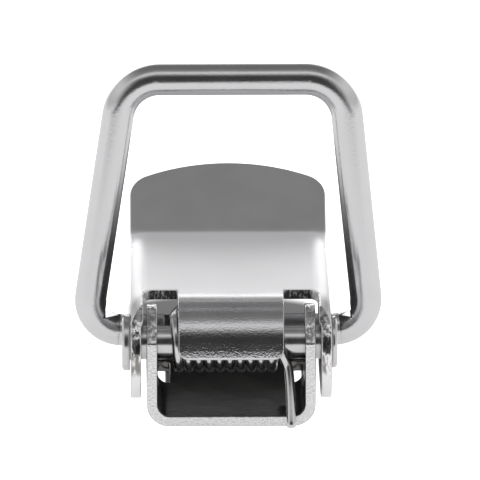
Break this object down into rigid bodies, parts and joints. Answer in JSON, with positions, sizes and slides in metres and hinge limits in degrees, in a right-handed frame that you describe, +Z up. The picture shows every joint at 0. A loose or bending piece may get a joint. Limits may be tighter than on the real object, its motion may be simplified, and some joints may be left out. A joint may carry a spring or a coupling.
{
  "type": "over centre toggle latch",
  "caption": "Over centre toggle latch: a folded lever with a curled tongue and raised tip on an eared base bracket, with a wire bail, a headed axle and a torsion spring.",
  "frame": {"origin": "on the mounting face, midway between the two screw holes", "axes": "+X along the pivots, towards the peened end of the axle; +Y from the pivots towards the thumb tip; +Z up from the mounting face"},
  "size_m": [0.0289, 0.0369, 0.0318],
  "materials": {
    "base_sheet": "polished",
    "lever_sheet": "polished",
    "rivet_steel": "polished",
    "spring_wire": "polished",
    "bail_wire": "polished"
  },
  "bodies": {
    "base": {"base_bracket": "base_sheet", "axle_rivet": "rivet_steel", "torsion_spring": "spring_wire"},
    "lever": {"lever": "lever_sheet"},
    "bail": {"wire_bail": "bail_wire"}
  },
  "joints": [
    {"name": "lever_pivot", "type": "hinge", "parent": "base", "child": "lever", "pos_m": [0, -0.0198, 0.007], "axis": [1, 0, 0], "range_deg": [0, 135], "deforming": ["torsion_spring"]},
    {"name": "bail_pivot", "type": "hinge", "parent": "lever", "child": "bail", "pos_m": [0, -0.0116, 0.0058], "axis": [1, 0, 0], "range_deg": [-60, 95]}
  ]
}
